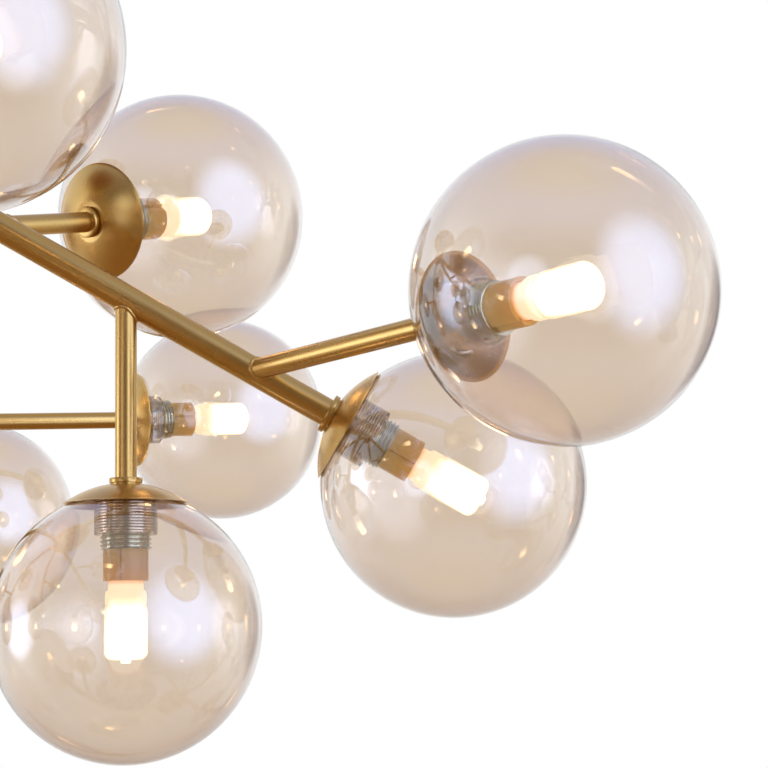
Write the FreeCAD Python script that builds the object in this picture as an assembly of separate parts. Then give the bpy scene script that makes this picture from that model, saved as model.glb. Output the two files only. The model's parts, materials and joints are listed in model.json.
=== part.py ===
import FreeCAD, Part
import math
import os

os.makedirs("parts", exist_ok=True)

# A ceiling light: five sloping bars leave a hub under a canopy, and each bar carries four
# clear glass globes, three on branches and one on its end.
# Lengths are millimetres and angles are degrees. The origin is the middle of the ceiling
# face, +Z is up and the first bar points along +X.

Vec = FreeCAD.Vector
UP = Vec(0, 0, 1)
FULL_TURN = 360.0
HALF_TURN = 180.0
ARM_COUNT = 5

# Layout of a bar and its branches, measured from the point where the bars' axes meet
HUB_DROP = 62.0
BAR_SLOPE = 28.5
BRANCH_ANGLE = 60.0
BAR_REACH = 506.0
FIRST_BRANCH_SHARE = 0.421
BRANCH_STEP_SHARE = 0.161
AWAY_REACH = 148.0
DOWN_REACH = 183.0
NEAR_REACH = 234.0
AWAY_ANGLE = 54.0
DOWN_ANGLE = 180.0
NEAR_ANGLE = -66.0

# Tubes
BAR_RADIUS = 8.0
BRANCH_RADIUS = 6.0
TUBE_WALL = 1.0
WELD_LEG = 1.0
PLUG_LENGTH = 14.0

# Glass globe, blown with a re-entrant screw neck
GLOBE_RADIUS = 75.0
GLOBE_WALL = 1.5
NECK_RADIUS = 17.5
NECK_WALL = 2.0
NECK_REACH = 17.5
NECK_LIP = 1.0

# Cap over the neck
CAP_RADIUS = 34.5
CAP_RISE = 11.4
CAP_WALL = 1.2
CAP_FLAT_RADIUS = 11.5
GLASS_CLEARANCE = 0.3

# Collar between a tube's end and its cap
COLLAR_MARGIN = 3.2
COLLAR_THICKNESS = 3.0
COLLAR_STEP = 0.9
COLLAR_GROOVE = 1.1

# Threaded sleeve, with the nipple, spacer and nut that hold it
SLEEVE_RADIUS = 14.25
SLEEVE_WALL = 1.5
SLEEVE_START = 6.0
SLEEVE_REACH = 25.5
SLEEVE_FLOOR = 2.0
SPACER_WALL = 1.2
NUT_CLEARANCE = 0.6
NIPPLE_RADIUS = 5.0
NIPPLE_WALL = 1.1
THREAD_CLEARANCE = 0.2
NUT_RADIUS = 8.0
NUT_HEIGHT = 3.0
NUT_SIDES = 6
NIPPLE_STAND = 1.0

# Lampholder and bulb
HOLDER_RADIUS = 12.5
HOLDER_OUT = 17.3
HOLDER_SEAT = 10.0
HOLDER_FLAT = 10.6
HOLDER_CHAMFER = 0.8
SEAM_PLACE = 2.4
SEAM_WIDTH = 0.6
SEAM_DEPTH = 2.4
POCKET_LENGTH = 16.0
POCKET_WIDTH = 6.6
POCKET_DEPTH = 9.0
PINCH_CLEARANCE = 0.4
BULB_RADIUS = 12.0
BULB_LENGTH = 45.0
BULB_CORNER = 4.5
BULB_BASE_RADIUS = 11.4
BULB_NECK_RADIUS = 9.7
BULB_NECK_LENGTH = 4.6
BULB_SHOULDER = 1.2
BULB_WAIST = 13.0
BULB_WAIST_DEPTH = 0.6
NUB_RADIUS = 2.8
NUB_LENGTH = 1.8

# Wiring
BAR_LEAD_RADIUS = 2.6
BRANCH_LEAD_RADIUS = 2.0
SUPPLY_LEAD_RADIUS = 2.8
CONNECTOR_RADIUS = 15.0
CONNECTOR_HEIGHT = 24.0
TERMINAL_LENGTH = 30.0
TERMINAL_WIDTH = 17.0
TERMINAL_HEIGHT = 13.0
TERMINAL_POLES = 3
TERMINAL_NOTCH = 1.2
TERMINAL_PLACE = 30.0

# Hub, ferrules and canopy
HUB_RADIUS = 40.0
HUB_WALL = 5.0
FERRULE_RADIUS = 12.0
FERRULE_LENGTH = 5.0
FERRULE_CHAMFER = 1.0
BAR_NUT_RADIUS = 11.0
BAR_NUT_LENGTH = 3.0
BAR_STUB = 1.5
COVER_DROP = 33.0
COVER_PLUG_RADIUS = 18.0
COVER_PLUG_LENGTH = 4.0
FINIAL_RADIUS = 5.0
FINIAL_LENGTH = 6.0
CANOPY_RADIUS = 110.0
CANOPY_DEPTH = 35.0
CANOPY_WALL = 1.2
CANOPY_FLAT_RADIUS = 52.0
CANOPY_LIP = 3.0

# Ceiling strap and stem
STRAP_LENGTH = 120.0
STRAP_WIDTH = 24.0
STRAP_WALL = 2.5
STRAP_DROP = 14.0
STRAP_BRIDGE = 50.0
SCREW_SPACING = 100.0
SCREW_HOLE_RADIUS = 2.75
STEM_STAND = 2.0


def turned(outline, axis=UP):
    """Returns the solid turned about Z by a closed outline of edges in the XZ plane."""
    face = Part.Face(Part.Wire(outline))
    return face.revolve(Vec(0, 0, 0), axis, FULL_TURN)


def line(start, end):
    """Returns a straight edge between two (radius, height) points."""
    return Part.makeLine(Vec(start[0], 0, start[1]), Vec(end[0], 0, end[1]))


def arc(start, middle, end):
    """Returns an arc edge through three (radius, height) points."""
    points = [Vec(point[0], 0, point[1]) for point in (start, middle, end)]
    return Part.Arc(*points).toShape()


def polygon(points):
    """Returns the edges of a closed outline through (radius, height) points."""
    return [line(point, points[index - 1]) for index, point in enumerate(points)]


def on_circle(radius, across):
    """Returns how far a circle's point stands from its centre plane, at a given offset."""
    return math.sqrt(radius ** 2 - across ** 2)


def ring(outer, inner, low, high):
    """Returns a tube about Z between two heights."""
    return turned(polygon([(inner, low), (outer, low), (outer, high), (inner, high)]))


def rod(radius, start, end):
    """Returns a cylinder between two points."""
    along = end.sub(start)
    return Part.makeCylinder(radius, along.Length, start, along)


def prism(sides, radius, low, high):
    """Returns a prism about Z with its corners on a circle."""
    steps = [FULL_TURN * side / sides for side in range(sides + 1)]
    corners = [Vec(radius * math.cos(math.radians(step)), radius * math.sin(math.radians(step)), low)
               for step in steps]
    return Part.Face(Part.makePolygon(corners)).extrude(Vec(0, 0, high - low))


def box(length, width, height, centre):
    """Returns a box about the middle of its underside."""
    corner = centre.sub(Vec(length / 2, width / 2, 0))
    return Part.makeBox(length, width, height, corner)


# Heights on a lamp's own axis, from the globe's centre and positive away from its tube
dome_radius = (CAP_RADIUS ** 2 + CAP_RISE ** 2) / (2 * CAP_RISE)
cap_inner_radius = on_circle(dome_radius - CAP_WALL, dome_radius - CAP_RISE)
cap_rim = -on_circle(GLOBE_RADIUS, cap_inner_radius) - GLASS_CLEARANCE
dome_centre = cap_rim - CAP_RISE + dome_radius
cap_top = dome_centre - on_circle(dome_radius, CAP_FLAT_RADIUS)
cap_under = cap_top + CAP_WALL
nipple_hole = NIPPLE_RADIUS + THREAD_CLEARANCE
sleeve_bore = SLEEVE_RADIUS - SLEEVE_WALL
sleeve_end = cap_rim + SLEEVE_REACH
sleeve_start = cap_rim + SLEEVE_START
sleeve_floor = sleeve_start + SLEEVE_FLOOR
sleeve_narrow = NUT_RADIUS + NUT_CLEARANCE
holder_seat = sleeve_end - HOLDER_SEAT
holder_end = sleeve_end + HOLDER_OUT
pocket_floor = holder_end - POCKET_DEPTH
bulb_tip = holder_end + BULB_LENGTH
tube_end = cap_top

# Places on the hub, from the point where the bars' axes meet
hub_flat = HUB_DROP - CANOPY_DEPTH
hub_bore = HUB_RADIUS - HUB_WALL
hub_ceiling = hub_flat - HUB_WALL
ferrule_seat = on_circle(HUB_RADIUS, FERRULE_RADIUS)
bar_nut_end = on_circle(hub_bore, BAR_NUT_RADIUS)
bar_start = bar_nut_end - BAR_NUT_LENGTH - BAR_STUB


def make_globe():
    """Makes a glass globe with its hole and its neck turned inwards."""
    bore = NECK_RADIUS - NECK_WALL
    hollow = GLOBE_RADIUS - GLOBE_WALL
    mouth = (bore, -on_circle(GLOBE_RADIUS, bore))
    root = (NECK_RADIUS, -on_circle(hollow, NECK_RADIUS))
    neck_end = cap_rim + NECK_REACH
    outline = [
        arc(mouth, (GLOBE_RADIUS, 0), (0, GLOBE_RADIUS)),
        line((0, GLOBE_RADIUS), (0, hollow)),
        arc((0, hollow), (hollow, 0), root),
        line(root, (NECK_RADIUS, neck_end - NECK_LIP)),
        line((NECK_RADIUS, neck_end - NECK_LIP), (NECK_RADIUS - NECK_LIP, neck_end)),
        line((NECK_RADIUS - NECK_LIP, neck_end), (bore, neck_end)),
        line((bore, neck_end), mouth),
    ]
    return turned(outline)


def make_cap():
    """Makes the domed cap, with a flat seat for its collar and a hole for its nipple."""
    inner_dome = dome_radius - CAP_WALL
    inner_flat = on_circle(inner_dome, dome_centre - cap_under)
    halfway = (CAP_RADIUS + CAP_FLAT_RADIUS) / 2
    outer_middle = (halfway, dome_centre - on_circle(dome_radius, halfway))
    inner_middle = (halfway, dome_centre - on_circle(inner_dome, halfway))
    outline = [
        line((nipple_hole, cap_top), (CAP_FLAT_RADIUS, cap_top)),
        arc((CAP_FLAT_RADIUS, cap_top), outer_middle, (CAP_RADIUS, cap_rim)),
        line((CAP_RADIUS, cap_rim), (cap_inner_radius, cap_rim)),
        arc((cap_inner_radius, cap_rim), inner_middle, (inner_flat, cap_under)),
        line((inner_flat, cap_under), (nipple_hole, cap_under)),
        line((nipple_hole, cap_under), (nipple_hole, cap_top)),
    ]
    return turned(outline)


def make_collar(tube_radius):
    """Makes the stepped ring that covers the joint of a tube and its cap."""
    radius = tube_radius + COLLAR_MARGIN
    groove = radius - COLLAR_GROOVE
    step = cap_top - COLLAR_STEP
    back = step - COLLAR_THICKNESS
    outline = [(tube_radius, cap_top), (groove, cap_top), (groove, step), (radius, step),
               (radius, back), (tube_radius, back)]
    return turned(polygon(outline))


def make_sleeve():
    """Makes the sleeve that the globe's neck screws over and the lampholder stands in."""
    outline = [(nipple_hole, sleeve_start), (SLEEVE_RADIUS, sleeve_start),
               (SLEEVE_RADIUS, sleeve_end), (sleeve_bore, sleeve_end),
               (sleeve_bore, holder_seat), (sleeve_narrow, holder_seat), (sleeve_narrow, sleeve_floor),
               (nipple_hole, sleeve_floor)]
    return turned(polygon(outline))


def make_spacer():
    """Makes the bush that keeps the sleeve at its distance under the cap."""
    return ring(NIPPLE_RADIUS + SPACER_WALL, NIPPLE_RADIUS, cap_under, sleeve_start)


def make_nipple():
    """Makes the threaded tube that holds the sleeve, the cap and the collar on a tube's end."""
    return ring(NIPPLE_RADIUS, NIPPLE_RADIUS - NIPPLE_WALL, tube_end - PLUG_LENGTH,
                sleeve_floor + NUT_HEIGHT + NIPPLE_STAND)


def make_nut(low):
    """Makes a hexagonal nut that bears on a face at the given height."""
    nut = prism(NUT_SIDES, NUT_RADIUS, low, low + NUT_HEIGHT)
    return nut.cut(Part.makeCylinder(NIPPLE_RADIUS, NUT_HEIGHT, Vec(0, 0, low)))


def make_holder():
    """Makes the lampholder: a half with flats and a round half, with a seam and the bulb's pocket."""
    body = Part.makeCylinder(HOLDER_RADIUS, holder_end - holder_seat, Vec(0, 0, holder_seat))
    body = body.makeChamfer(HOLDER_CHAMFER, [edge for edge in body.Edges if edge.BoundBox.ZMin > sleeve_end])
    flat_width = HOLDER_RADIUS - HOLDER_FLAT + HOLDER_CHAMFER
    for side in (-1, 1):
        flat = Vec(SEAM_PLACE + HOLDER_RADIUS / 2, side * (HOLDER_FLAT + flat_width / 2), sleeve_end)
        seam = Vec(SEAM_PLACE, side * (HOLDER_RADIUS - SEAM_DEPTH / 2), sleeve_end)
        body = body.cut(box(HOLDER_RADIUS, flat_width, HOLDER_OUT, flat))
        body = body.cut(box(SEAM_WIDTH, SEAM_DEPTH, HOLDER_OUT, seam))
    pocket = box(POCKET_LENGTH, POCKET_WIDTH, POCKET_DEPTH, Vec(0, 0, pocket_floor))
    return body.cut(pocket)


def make_bulb():
    """Makes the capsule bulb with its stepped neck, its tip and its flat pinched base."""
    neck_end = holder_end + BULB_NECK_LENGTH
    shoulder = neck_end + BULB_SHOULDER
    waist = holder_end + BULB_WAIST
    waist_radius = BULB_BASE_RADIUS - BULB_WAIST_DEPTH
    below_waist = waist - BULB_WAIST_DEPTH
    above_waist = waist + BULB_RADIUS - waist_radius
    end = bulb_tip - NUB_LENGTH
    crown = end - BULB_CORNER
    slant = BULB_CORNER * math.cos(math.radians(HALF_TURN / 4))
    end_radius = BULB_RADIUS - BULB_CORNER
    outline = [
        line((0, holder_end), (BULB_NECK_RADIUS, holder_end)),
        line((BULB_NECK_RADIUS, holder_end), (BULB_NECK_RADIUS, neck_end)),
        line((BULB_NECK_RADIUS, neck_end), (BULB_BASE_RADIUS, shoulder)),
        line((BULB_BASE_RADIUS, shoulder), (BULB_BASE_RADIUS, below_waist)),
        line((BULB_BASE_RADIUS, below_waist), (waist_radius, waist)),
        line((waist_radius, waist), (BULB_RADIUS, above_waist)),
        line((BULB_RADIUS, above_waist), (BULB_RADIUS, crown)),
        arc((BULB_RADIUS, crown), (end_radius + slant, crown + slant), (end_radius, end)),
        line((end_radius, end), (NUB_RADIUS, end)),
        line((NUB_RADIUS, end), (NUB_RADIUS, bulb_tip)),
        line((NUB_RADIUS, bulb_tip), (0, bulb_tip)),
        line((0, bulb_tip), (0, holder_end)),
    ]
    pinch = box(POCKET_LENGTH - 2 * PINCH_CLEARANCE, POCKET_WIDTH - 2 * PINCH_CLEARANCE, POCKET_DEPTH,
                Vec(0, 0, pocket_floor))
    return turned(outline).fuse(pinch).removeSplitter()


def lamp_axes():
    """Returns (root, centre, direction, tube radius) of the four lamps of the first bar."""
    slope = math.radians(BAR_SLOPE)
    along = Vec(math.cos(slope), 0, -math.sin(slope))
    upward = Vec(math.sin(slope), 0, math.cos(slope))
    sideways = Vec(0, 1, 0)
    hub_point = Vec(0, 0, -HUB_DROP)
    branches = ((AWAY_REACH, AWAY_ANGLE), (DOWN_REACH, DOWN_ANGLE), (NEAR_REACH, NEAR_ANGLE))
    lean = math.radians(BRANCH_ANGLE)
    lamps = []
    for index, (reach, turn) in enumerate(branches):
        round_bar = math.radians(turn)
        across = upward * math.cos(round_bar) + sideways * math.sin(round_bar)
        direction = along * math.cos(lean) + across * math.sin(lean)
        root = hub_point + along * BAR_REACH * (FIRST_BRANCH_SHARE + BRANCH_STEP_SHARE * index)
        lamps.append((root, root + direction * reach, direction, BRANCH_RADIUS))
    lamps.append((hub_point, hub_point + along * BAR_REACH, along, BAR_RADIUS))
    return lamps


LAMPS = lamp_axes()
BAR_DIRECTION = LAMPS[-1][2]
HUB_POINT = LAMPS[-1][0]


def on_lamp(shape, lamp):
    """Returns a copy of a lamp's piece, moved from its own axis to its place on the first bar."""
    placed = shape.copy()
    placed.Placement = FreeCAD.Placement(lamp[1], FreeCAD.Rotation(UP, lamp[2]))
    return placed


def on_arm(shape, arm):
    """Returns a copy of a piece of the first bar, turned round the light to another bar."""
    turn = FreeCAD.Rotation(UP, FULL_TURN * arm / ARM_COUNT)
    placed = shape.copy()
    placed.Placement = FreeCAD.Placement(Vec(0, 0, 0), turn).multiply(shape.Placement)
    return placed


def make_frame():
    """Makes a bar and its three branches as one welded frame of tubes, plugged at the lamps."""
    start = HUB_POINT + BAR_DIRECTION * bar_start
    frame = None
    bores = []
    for root, centre, direction, radius in reversed(LAMPS):
        end = centre + direction * tube_end
        first = start if radius == BAR_RADIUS else root
        tube = rod(radius, first, end)
        if radius == BAR_RADIUS:
            frame = tube
        else:
            weld_top = BAR_RADIUS / math.sin(math.radians(BRANCH_ANGLE)) + WELD_LEG
            weld = Part.makeCone(radius + WELD_LEG, radius, 2 * WELD_LEG, root + direction * weld_top, direction)
            neck = rod(radius + WELD_LEG, root, root + direction * weld_top)
            frame = frame.fuse([tube, neck.fuse(weld)])
        bores.append(rod(radius - TUBE_WALL, first, end - direction * PLUG_LENGTH))
        bores.append(rod(NIPPLE_RADIUS, end - direction * PLUG_LENGTH, end))
    for bore in bores:
        frame = frame.cut(bore)
    return frame


def make_arm_lead():
    """Makes a bar's wiring: its lead and the branch leads, from the connector to the holders."""
    start = HUB_POINT + BAR_DIRECTION * (CONNECTOR_RADIUS - BAR_LEAD_RADIUS)
    lead = None
    for root, centre, direction, radius in reversed(LAMPS):
        end = centre + direction * holder_seat
        if radius == BAR_RADIUS:
            lead = rod(BAR_LEAD_RADIUS, start, end)
        else:
            lead = lead.fuse(rod(BRANCH_LEAD_RADIUS, root, end))
    return lead.cut(make_connector())


def along_bar(shape):
    """Returns a piece made about Z, moved to the first bar with its zero at the hub point."""
    placed = shape.copy()
    placed.Placement = FreeCAD.Placement(HUB_POINT, FreeCAD.Rotation(UP, BAR_DIRECTION))
    return placed


def make_ferrule():
    """Makes the ring that dresses a bar's joint with the hub."""
    end = ferrule_seat + FERRULE_LENGTH
    corner = FERRULE_RADIUS - FERRULE_CHAMFER
    outline = [(BAR_RADIUS, ferrule_seat), (FERRULE_RADIUS, ferrule_seat),
               (FERRULE_RADIUS, end - FERRULE_CHAMFER), (corner, end), (BAR_RADIUS, end)]
    return along_bar(turned(polygon(outline)))


def make_bar_nut():
    """Makes the ring nut that pulls a bar against the hub from inside."""
    return along_bar(ring(BAR_NUT_RADIUS, BAR_RADIUS, bar_nut_end - BAR_NUT_LENGTH, bar_nut_end))


def make_hub():
    """Makes the hollow ball of the hub, with its flat top, its bar holes and its lower opening."""
    ball = Part.makeSphere(HUB_RADIUS, HUB_POINT)
    hollow = Part.makeSphere(hub_bore, HUB_POINT)
    roof = box(2 * HUB_RADIUS, 2 * HUB_RADIUS, HUB_RADIUS, HUB_POINT + Vec(0, 0, hub_ceiling))
    above = box(2 * HUB_RADIUS, 2 * HUB_RADIUS, HUB_RADIUS, HUB_POINT + Vec(0, 0, hub_flat))
    below = box(2 * HUB_RADIUS, 2 * HUB_RADIUS, HUB_RADIUS, HUB_POINT - Vec(0, 0, COVER_DROP + HUB_RADIUS))
    hub = ball.cut(above).cut(below).cut(hollow.cut(roof))
    hub = hub.fuse(make_hub_floor())
    opening = Part.makeCylinder(COVER_PLUG_RADIUS, COVER_PLUG_LENGTH, HUB_POINT - Vec(0, 0, COVER_DROP))
    hub = hub.cut(opening)
    hub = hub.cut(Part.makeCylinder(nipple_hole, HUB_RADIUS, HUB_POINT))
    for arm in range(ARM_COUNT):
        seat = Part.makeCylinder(HUB_RADIUS, HUB_WALL, Vec(0, 0, ferrule_seat))
        hole = Part.makeCylinder(BAR_RADIUS, HUB_RADIUS)
        hub = hub.cut(on_arm(along_bar(seat), arm)).cut(on_arm(along_bar(hole), arm))
    return hub


def make_hub_floor():
    """Makes the flange round the hub's lower opening, which the cover screws into."""
    edge = on_circle(HUB_RADIUS, COVER_DROP)
    top = -COVER_DROP + COVER_PLUG_LENGTH
    floor = ring(edge, COVER_PLUG_RADIUS, -COVER_DROP, top)
    floor.translate(HUB_POINT)
    return floor


def make_hub_cover():
    """Makes the domed cover under the hub, with its screwed plug and its finial."""
    edge = on_circle(HUB_RADIUS, COVER_DROP)
    bottom = -on_circle(HUB_RADIUS, FINIAL_RADIUS)
    halfway = (edge + FINIAL_RADIUS) / 2
    tip = bottom - FINIAL_LENGTH
    inner = COVER_PLUG_RADIUS - HUB_WALL / 2
    outline = [
        line((0, -COVER_DROP), (inner, -COVER_DROP)),
        line((inner, -COVER_DROP), (inner, COVER_PLUG_LENGTH - COVER_DROP)),
        line((inner, COVER_PLUG_LENGTH - COVER_DROP), (COVER_PLUG_RADIUS, COVER_PLUG_LENGTH - COVER_DROP)),
        line((COVER_PLUG_RADIUS, COVER_PLUG_LENGTH - COVER_DROP), (COVER_PLUG_RADIUS, -COVER_DROP)),
        line((COVER_PLUG_RADIUS, -COVER_DROP), (edge, -COVER_DROP)),
        arc((edge, -COVER_DROP), (halfway, -on_circle(HUB_RADIUS, halfway)), (FINIAL_RADIUS, bottom)),
        line((FINIAL_RADIUS, bottom), (FINIAL_RADIUS, tip + FINIAL_RADIUS / 2)),
        line((FINIAL_RADIUS, tip + FINIAL_RADIUS / 2), (FINIAL_RADIUS / 2, tip)),
        line((FINIAL_RADIUS / 2, tip), (0, tip)),
        line((0, tip), (0, -COVER_DROP)),
    ]
    cover = turned(outline)
    cover.translate(HUB_POINT)
    return cover


def make_canopy():
    """Makes the spun dish against the ceiling, with a flat floor on the hub."""
    shoulder = (CANOPY_RADIUS + CANOPY_FLAT_RADIUS) / 2
    bulge = CANOPY_DEPTH * (1 - math.cos(math.radians(HALF_TURN / 4)) / 2)
    outer_floor = (CANOPY_FLAT_RADIUS, -CANOPY_DEPTH)
    outer_rim = (CANOPY_RADIUS, -CANOPY_LIP)
    inner_floor = (CANOPY_FLAT_RADIUS, CANOPY_WALL - CANOPY_DEPTH)
    inner_rim = (CANOPY_RADIUS - CANOPY_WALL, -CANOPY_LIP)
    outline = [
        line((nipple_hole, -CANOPY_DEPTH), outer_floor),
        arc(outer_floor, (shoulder + CANOPY_LIP, -bulge), outer_rim),
        line(outer_rim, (CANOPY_RADIUS, 0)),
        line((CANOPY_RADIUS, 0), (CANOPY_RADIUS - CANOPY_WALL, 0)),
        line((CANOPY_RADIUS - CANOPY_WALL, 0), inner_rim),
        arc(inner_rim, (shoulder + CANOPY_LIP - CANOPY_WALL, CANOPY_WALL - bulge), inner_floor),
        line(inner_floor, (nipple_hole, CANOPY_WALL - CANOPY_DEPTH)),
        line((nipple_hole, CANOPY_WALL - CANOPY_DEPTH), (nipple_hole, -CANOPY_DEPTH)),
    ]
    return turned(outline)


def make_strap():
    """Makes the joggled steel strap that is screwed to the ceiling."""
    half = STRAP_LENGTH / 2
    bridge = STRAP_BRIDGE / 2
    foot = bridge + STRAP_DROP
    under = -STRAP_DROP - STRAP_WALL
    right = [(foot, 0), (half, 0), (half, -STRAP_WALL), (foot + STRAP_WALL, -STRAP_WALL),
             (bridge + STRAP_WALL, under)]
    left = [(-across, height) for across, height in reversed(right)]
    inner = [(-bridge, -STRAP_DROP), (bridge, -STRAP_DROP)]
    edges = polygon(right + left + inner)
    strap = Part.Face(Part.Wire(edges)).extrude(Vec(0, STRAP_WIDTH, 0))
    strap.translate(Vec(0, -STRAP_WIDTH / 2, 0))
    strap = strap.cut(Part.makeCylinder(nipple_hole, 2 * STRAP_DROP, Vec(0, 0, -2 * STRAP_DROP)))
    for side in (-1, 1):
        place = Vec(side * SCREW_SPACING / 2, 0, -STRAP_WALL)
        strap = strap.cut(Part.makeCylinder(SCREW_HOLE_RADIUS, STRAP_WALL, place))
    return strap


def stem_nut_seats():
    """Returns the heights of the undersides of the stem's nuts."""
    strap_under = -STRAP_DROP - STRAP_WALL
    canopy_floor = CANOPY_WALL - CANOPY_DEPTH
    hub_roof = hub_ceiling - HUB_DROP
    return [-STRAP_DROP, strap_under - NUT_HEIGHT, canopy_floor, hub_roof - NUT_HEIGHT]


def make_stem():
    """Makes the threaded tube that hangs the canopy and the hub from the strap."""
    seats = stem_nut_seats()
    return ring(NIPPLE_RADIUS, NIPPLE_RADIUS - NIPPLE_WALL, seats[-1] - STEM_STAND,
                seats[0] + NUT_HEIGHT + STEM_STAND)


def make_terminal_block():
    """Makes the screw terminal block that stands on the canopy's floor."""
    floor = Vec(0, TERMINAL_PLACE, CANOPY_WALL - CANOPY_DEPTH)
    block = box(TERMINAL_LENGTH, TERMINAL_WIDTH, TERMINAL_HEIGHT, floor)
    pole = TERMINAL_LENGTH / TERMINAL_POLES
    for joint in range(1, TERMINAL_POLES):
        place = floor + Vec(pole * joint - TERMINAL_LENGTH / 2, 0, TERMINAL_HEIGHT - TERMINAL_NOTCH)
        block = block.cut(box(TERMINAL_NOTCH, TERMINAL_WIDTH, TERMINAL_NOTCH, place))
    return block


def make_supply_lead():
    """Makes the lead from the terminal block over the stem's top and down to the connector."""
    crossing = -(STRAP_DROP - NUT_HEIGHT - STEM_STAND) / 2
    block_top = CANOPY_WALL - CANOPY_DEPTH + TERMINAL_HEIGHT
    corners = [Vec(0, 0, CONNECTOR_HEIGHT / 2 - HUB_DROP), Vec(0, 0, crossing),
               Vec(0, TERMINAL_PLACE, crossing), Vec(0, TERMINAL_PLACE, block_top)]
    lead = None
    for start, end in zip(corners, corners[1:]):
        run = rod(SUPPLY_LEAD_RADIUS, start, end)
        lead = run if lead is None else lead.fuse([run, Part.makeSphere(SUPPLY_LEAD_RADIUS, start)])
    return lead


def make_connector():
    """Makes the connector in the hub that joins the five bars' leads to the supply lead."""
    return Part.makeCylinder(CONNECTOR_RADIUS, CONNECTOR_HEIGHT, Vec(0, 0, -HUB_DROP - CONNECTOR_HEIGHT / 2))


def export(name, shapes):
    """Writes one node's solids as a STEP file and prints what was written."""
    group = shapes[0] if len(shapes) == 1 else Part.makeCompound(shapes)
    group.exportStep("parts/" + name + ".step")
    print(name, len(group.Solids), round(group.Volume), group.isValid())


def on_all_lamps(shape):
    """Returns one copy of a lamp's piece for every lamp of every bar."""
    return [on_arm(on_lamp(shape, lamp), arm) for arm in range(ARM_COUNT) for lamp in LAMPS]


def on_all_arms(shape):
    """Returns one copy of a piece of the first bar for every bar."""
    return [on_arm(shape, arm) for arm in range(ARM_COUNT)]


globe = make_globe()
cap = make_cap()
holder = make_holder()
bulb = make_bulb()
frame = make_frame()
collars = [on_lamp(make_collar(lamp[3]), lamp) for lamp in LAMPS]

for arm in range(ARM_COUNT):
    arm_name = "arm_" + str(arm + 1)
    export(arm_name + "_frame", [on_arm(frame, arm)])
    export(arm_name + "_caps", [on_arm(on_lamp(cap, lamp), arm) for lamp in LAMPS])
    export(arm_name + "_lampholders", [on_arm(on_lamp(holder, lamp), arm) for lamp in LAMPS])
    export(arm_name + "_bulbs", [on_arm(on_lamp(bulb, lamp), arm) for lamp in LAMPS])
    for lamp, position in zip(LAMPS, ("away", "down", "near", "end")):
        export(arm_name + "_globe_" + position, [on_arm(on_lamp(globe, lamp), arm)])

export("end_collars", [on_arm(collar, arm) for arm in range(ARM_COUNT) for collar in collars])
export("threaded_sleeves", on_all_lamps(make_sleeve()))
export("end_nipples", on_all_lamps(make_nipple()))
export("end_nuts", on_all_lamps(make_nut(sleeve_floor)))
export("end_spacers", on_all_lamps(make_spacer()))
export("arm_leads", on_all_arms(make_arm_lead()))
export("hub_body", [make_hub()])
export("hub_cover", [make_hub_cover()])
export("hub_ferrules", on_all_arms(make_ferrule()))
export("bar_nuts", on_all_arms(make_bar_nut()))
export("ceiling_canopy", [make_canopy()])
export("ceiling_strap", [make_strap()])
export("stem_tube", [make_stem()])
export("stem_nuts", [make_nut(seat) for seat in stem_nut_seats()])
export("terminal_block", [make_terminal_block()])
export("supply_lead", [make_supply_lead()])
export("hub_connector", [make_connector()])
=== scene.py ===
"""Looks of a ceiling light: brass bars and branches with clear lustred glass globes."""

import json
import logging
import math
from dataclasses import dataclass, field
from enum import Enum

import bpy
from mathutils import Euler, Matrix, Vector


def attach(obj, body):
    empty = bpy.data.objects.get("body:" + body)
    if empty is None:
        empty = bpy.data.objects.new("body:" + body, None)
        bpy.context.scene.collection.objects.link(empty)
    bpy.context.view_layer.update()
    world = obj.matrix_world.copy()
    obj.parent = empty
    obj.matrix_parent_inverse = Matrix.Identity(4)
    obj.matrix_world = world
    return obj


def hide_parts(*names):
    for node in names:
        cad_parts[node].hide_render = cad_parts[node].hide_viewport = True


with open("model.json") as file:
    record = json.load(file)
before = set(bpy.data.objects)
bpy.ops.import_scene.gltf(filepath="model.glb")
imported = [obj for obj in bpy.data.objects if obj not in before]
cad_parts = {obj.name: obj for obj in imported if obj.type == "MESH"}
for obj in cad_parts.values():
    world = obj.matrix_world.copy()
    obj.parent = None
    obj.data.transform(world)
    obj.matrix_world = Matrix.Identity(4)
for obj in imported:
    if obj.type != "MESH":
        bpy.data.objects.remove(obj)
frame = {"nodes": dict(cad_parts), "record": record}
MM = 0.001
UP = Vector((0.0, 0.0, 1.0))
FULL_TURN = 2.0 * math.pi
MERGE_DISTANCE = 0.001 * MM
CUT_TOLERANCE = 0.0001 * MM
ROUND_MIDDLE = 0.3  # how far in from its corner a small round's middle point lies, as a share of its radius
LIGHT_BOUNCES = 32
GLASS_BOUNCES = 24
NO_BOUNCE = 0.5  # a ray whose depth lies below this has not bounced
log = logging.getLogger("ceiling_light")

Outline = list[tuple[float, float]]
Span = tuple[float, float]
Colour = tuple[float, float, float, float]
Socket = bpy.types.NodeSocket


class Place(Enum):
    """Where a lamp sits on its bar."""

    AWAY = "away"
    DOWN = "down"
    NEAR = "near"
    END = "end"


@dataclass(frozen=True)
class Lamp:
    """One lamp's own axis, in the row frame, in metres."""

    arm: int
    place: Place
    root: Vector
    centre: Vector
    direction: Vector
    tube_radius: float

    @property
    def matrix(self) -> Matrix:
        """Moves a piece from the lamp's own axis, with its zero at the globe's centre, to its place."""
        return Matrix.Translation(self.centre) @ UP.rotation_difference(self.direction).to_matrix().to_4x4()


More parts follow.
